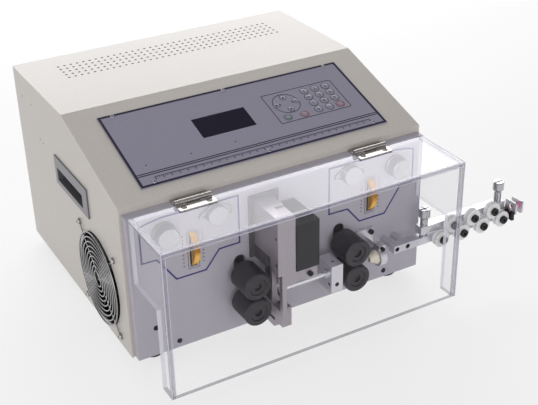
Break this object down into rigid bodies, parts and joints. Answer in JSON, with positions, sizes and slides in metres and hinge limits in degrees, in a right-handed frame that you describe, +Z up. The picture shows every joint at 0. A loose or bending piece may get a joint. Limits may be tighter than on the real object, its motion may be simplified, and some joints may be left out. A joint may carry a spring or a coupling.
{
  "type": "wire cutting and stripping machine",
  "caption": "Bench machine that feeds wire through rollers and a cutter head under a hinged clear cover, with a straightener on its side and a sloping control face.",
  "frame": {"origin": "middle of the whole footprint, on the plane the feet stand on", "axes": "+X along the wire towards the straightener, +Y to the rear, +Z up; the cover side faces -Y"},
  "size_m": [0.5378, 0.44, 0.261],
  "materials": {
    "cream_paint": "semi-gloss powder coat",
    "panel_grey": "semi-gloss",
    "plain_steel": "satin",
    "black_rubber": "matt",
    "grey_plastic": "satin",
    "guard_chrome": "bright",
    "black_plastic": "satin",
    "overlay_film": "satin",
    "lcd_glass": "gloss",
    "board_green": "satin",
    "red_plastic": "gloss",
    "motor_black": "satin",
    "head_steel": "satin",
    "blade_steel": "ground",
    "satin_aluminium": "satin",
    "polished_steel": "polished",
    "roller_dark": "fine knurl, blackened",
    "brass": "satin",
    "spun_aluminium": "spun",
    "nylon_cream": "satin",
    "nylon_white": "satin",
    "black_steel": "black oxide",
    "ceramic_pink": "glazed ceramic",
    "clear_acrylic": "clear",
    "hinge_nickel": "bright"
  },
  "bodies": {
    "machine": {"casing": "cream_paint", "rear_panel": "cream_paint", "front_panel": "panel_grey", "base_pan": "plain_steel", "bearing_plate": "plain_steel", "power_supply": "plain_steel", "feet": "black_rubber", "cutter_belt": "black_rubber", "carry_handles": "grey_plastic", "fan_guard": "guard_chrome", "fan_frame": "black_plastic", "power_inlet": "black_plastic", "head_cover": "black_plastic", "control_panel": "overlay_film", "lcd_module": "lcd_glass", "main_board": "board_green", "stepper_motors": "motor_black", "head_frame": "head_steel", "inlet_clamp": "satin_aluminium", "straightener_frame": "satin_aluminium", "eyelet_bracket": "satin_aluminium", "pressure_caps": "polished_steel", "inlet_guide": "nylon_cream", "socket_screws": "black_steel", "head_bracket": "black_steel", "wire_eyelet": "ceramic_pink", "hinge_fixed_leaves": "hinge_nickel"},
    "cover": {"cover": "clear_acrylic", "hinge_moving_leaves": "hinge_nickel"},
    "fan_rotor": {"fan_rotor": "black_plastic"},
    "left_lower_roller": {"left_lower_roller": "roller_dark"},
    "right_lower_roller": {"right_lower_roller": "roller_dark"},
    "left_upper_roller": {"left_upper_roller": "roller_dark"},
    "right_upper_roller": {"right_upper_roller": "roller_dark"},
    "left_carriage": {"left_carriage": "plain_steel"},
    "right_carriage": {"right_carriage": "plain_steel"},
    "left_thumbwheel": {"left_thumbwheel": "brass"},
    "right_thumbwheel": {"right_thumbwheel": "brass"},
    "left_pressure_knob": {"left_pressure_knob": "spun_aluminium"},
    "right_pressure_knob": {"right_pressure_knob": "spun_aluminium"},
    "lead_screw": {"lead_screw": "plain_steel"},
    "cutter_rotor": {"cutter_rotor": "plain_steel"},
    "upper_slide": {"upper_blade_holder": "head_steel", "upper_blade": "blade_steel"},
    "lower_slide": {"lower_blade_holder": "head_steel", "lower_blade": "blade_steel"},
    "swing_guide": {"guide_block": "satin_aluminium", "guide_tube": "polished_steel"},
    "top_bar": {"top_bar": "satin_aluminium", "upper_axles": "black_steel"},
    "thumbscrew_left": {"thumbscrew_left": "polished_steel"},
    "thumbscrew_right": {"thumbscrew_right": "polished_steel"},
    "power_switch": {"power_switch": "red_plastic"},
    "lower_roller_1": {"lower_roller_1": "nylon_white"},
    "lower_roller_2": {"lower_roller_2": "nylon_white"},
    "lower_roller_3": {"lower_roller_3": "nylon_white"},
    "lower_roller_4": {"lower_roller_4": "nylon_white"},
    "upper_roller_1": {"upper_roller_1": "nylon_white"},
    "upper_roller_2": {"upper_roller_2": "nylon_white"},
    "upper_roller_3": {"upper_roller_3": "nylon_white"}
  },
  "joints": [
    {"name": "cover_hinge", "type": "hinge", "parent": "machine", "child": "cover", "pos_m": [-0.06455, -0.13654, 0.2073], "axis": [-1, 0, 0], "range_deg": [0, 150]},
    {"name": "fan_spin", "type": "hinge", "parent": "machine", "child": "fan_rotor", "pos_m": [-0.25455, -0.04104, 0.0786], "axis": [1, 0, 0], "continuous": true},
    {"name": "left_lower_spin", "type": "hinge", "parent": "machine", "child": "left_lower_roller", "pos_m": [-0.12655, -0.12304, 0.06025], "axis": [0, 1, 0], "continuous": true},
    {"name": "left_wheel_turn", "type": "hinge", "parent": "machine", "child": "left_thumbwheel", "pos_m": [-0.18455, -0.12304, 0.143], "axis": [1, 0, 0], "range_deg": [0, 65]},
    {"name": "left_lift", "type": "slide", "parent": "machine", "child": "left_carriage", "axis": [0, 0, 1], "range_m": [0, 0.008]},
    {"name": "left_upper_spin", "type": "hinge", "parent": "left_carriage", "child": "left_upper_roller", "pos_m": [-0.12655, -0.12304, 0.09575], "axis": [0, 1, 0], "continuous": true},
    {"name": "left_knob_turn", "type": "hinge", "parent": "machine", "child": "left_pressure_knob", "pos_m": [-0.21955, -0.15304, 0.175], "axis": [0, -1, 0], "range_deg": [0, 270]},
    {"name": "right_lower_spin", "type": "hinge", "parent": "machine", "child": "right_lower_roller", "pos_m": [0.01045, -0.12304, 0.06025], "axis": [0, 1, 0], "continuous": true},
    {"name": "right_wheel_turn", "type": "hinge", "parent": "machine", "child": "right_thumbwheel", "pos_m": [0.05545, -0.12304, 0.143], "axis": [1, 0, 0], "range_deg": [0, 65]},
    {"name": "right_lift", "type": "slide", "parent": "machine", "child": "right_carriage", "axis": [0, 0, 1], "range_m": [0, 0.008]},
    {"name": "right_upper_spin", "type": "hinge", "parent": "right_carriage", "child": "right_upper_roller", "pos_m": [0.01045, -0.12304, 0.09575], "axis": [0, 1, 0], "continuous": true},
    {"name": "right_knob_turn", "type": "hinge", "parent": "machine", "child": "right_pressure_knob", "pos_m": [0.09045, -0.15304, 0.175], "axis": [0, -1, 0], "range_deg": [0, 270]},
    {"name": "screw_turn", "type": "hinge", "parent": "machine", "child": "lead_screw", "pos_m": [-0.09005, -0.15104, 0.113], "axis": [0, 0, 1], "range_deg": [0, 360]},
    {"name": "upper_blade_slide", "type": "slide", "parent": "machine", "child": "upper_slide", "axis": [0, 0, -1], "range_m": [0, 0.008]},
    {"name": "lower_blade_slide", "type": "slide", "parent": "machine", "child": "lower_slide", "axis": [0, 0, 1], "range_m": [0, 0.008]},
    {"name": "cutter_motor_turn", "type": "hinge", "parent": "machine", "child": "cutter_rotor", "pos_m": [-0.09005, -0.05454, 0.173], "axis": [0, 0, 1], "range_deg": [0, 360]},
    {"name": "guide_swing", "type": "hinge", "parent": "machine", "child": "swing_guide", "pos_m": [-0.02155, -0.16304, 0.062], "axis": [0, -1, 0], "range_deg": [0, 8]},
    {"name": "lower_roller_1_spin", "type": "hinge", "parent": "machine", "child": "lower_roller_1", "pos_m": [0.14095, -0.17204, 0.0727], "axis": [0, 1, 0], "continuous": true},
    {"name": "lower_roller_2_spin", "type": "hinge", "parent": "machine", "child": "lower_roller_2", "pos_m": [0.17335, -0.17204, 0.0727], "axis": [0, 1, 0], "continuous": true},
    {"name": "lower_roller_3_spin", "type": "hinge", "parent": "machine", "child": "lower_roller_3", "pos_m": [0.20575, -0.17204, 0.0727], "axis": [0, 1, 0], "continuous": true},
    {"name": "lower_roller_4_spin", "type": "hinge", "parent": "machine", "child": "lower_roller_4", "pos_m": [0.23815, -0.17204, 0.0727], "axis": [0, 1, 0], "continuous": true},
    {"name": "thumbscrew_left_turn", "type": "hinge", "parent": "machine", "child": "thumbscrew_left", "pos_m": [0.12145, -0.16104, 0.103], "axis": [0, 0, 1], "range_deg": [0, 1800]},
    {"name": "thumbscrew_right_turn", "type": "hinge", "parent": "machine", "child": "thumbscrew_right", "pos_m": [0.23945, -0.16104, 0.103], "axis": [0, 0, 1], "range_deg": [0, 1800]},
    {"name": "top_bar_lift", "type": "slide", "parent": "machine", "child": "top_bar", "axis": [0, 0, 1], "range_m": [0, 0.005]},
    {"name": "upper_roller_1_spin", "type": "hinge", "parent": "top_bar", "child": "upper_roller_1", "pos_m": [0.15715, -0.17204, 0.0892], "axis": [0, 1, 0], "continuous": true},
    {"name": "upper_roller_2_spin", "type": "hinge", "parent": "top_bar", "child": "upper_roller_2", "pos_m": [0.18955, -0.17204, 0.0892], "axis": [0, 1, 0], "continuous": true},
    {"name": "upper_roller_3_spin", "type": "hinge", "parent": "top_bar", "child": "upper_roller_3", "pos_m": [0.22195, -0.17204, 0.0892], "axis": [0, 1, 0], "continuous": true},
    {"name": "switch_rock", "type": "hinge", "parent": "machine", "child": "power_switch", "pos_m": [0.08545, 0.21346, 0.084], "axis": [1, 0, 0], "range_deg": [0, 16]}
  ],
  "couplings": [
    {"joint": "left_upper_spin", "follows": "left_lower_spin", "ratio": -1},
    {"joint": "left_lift", "follows": "left_wheel_turn", "m_per_rad": 0.007},
    {"joint": "right_upper_spin", "follows": "right_lower_spin", "ratio": -1},
    {"joint": "right_lift", "follows": "right_wheel_turn", "m_per_rad": 0.007},
    {"joint": "lower_blade_slide", "follows": "upper_blade_slide", "ratio": 1},
    {"joint": "screw_turn", "follows": "upper_blade_slide", "rad_per_m": 785.39},
    {"joint": "cutter_motor_turn", "follows": "upper_blade_slide", "rad_per_m": 785.39},
    {"joint": "thumbscrew_left_turn", "follows": "top_bar_lift", "rad_per_m": 6283},
    {"joint": "thumbscrew_right_turn", "follows": "top_bar_lift", "rad_per_m": 6283}
  ]
}
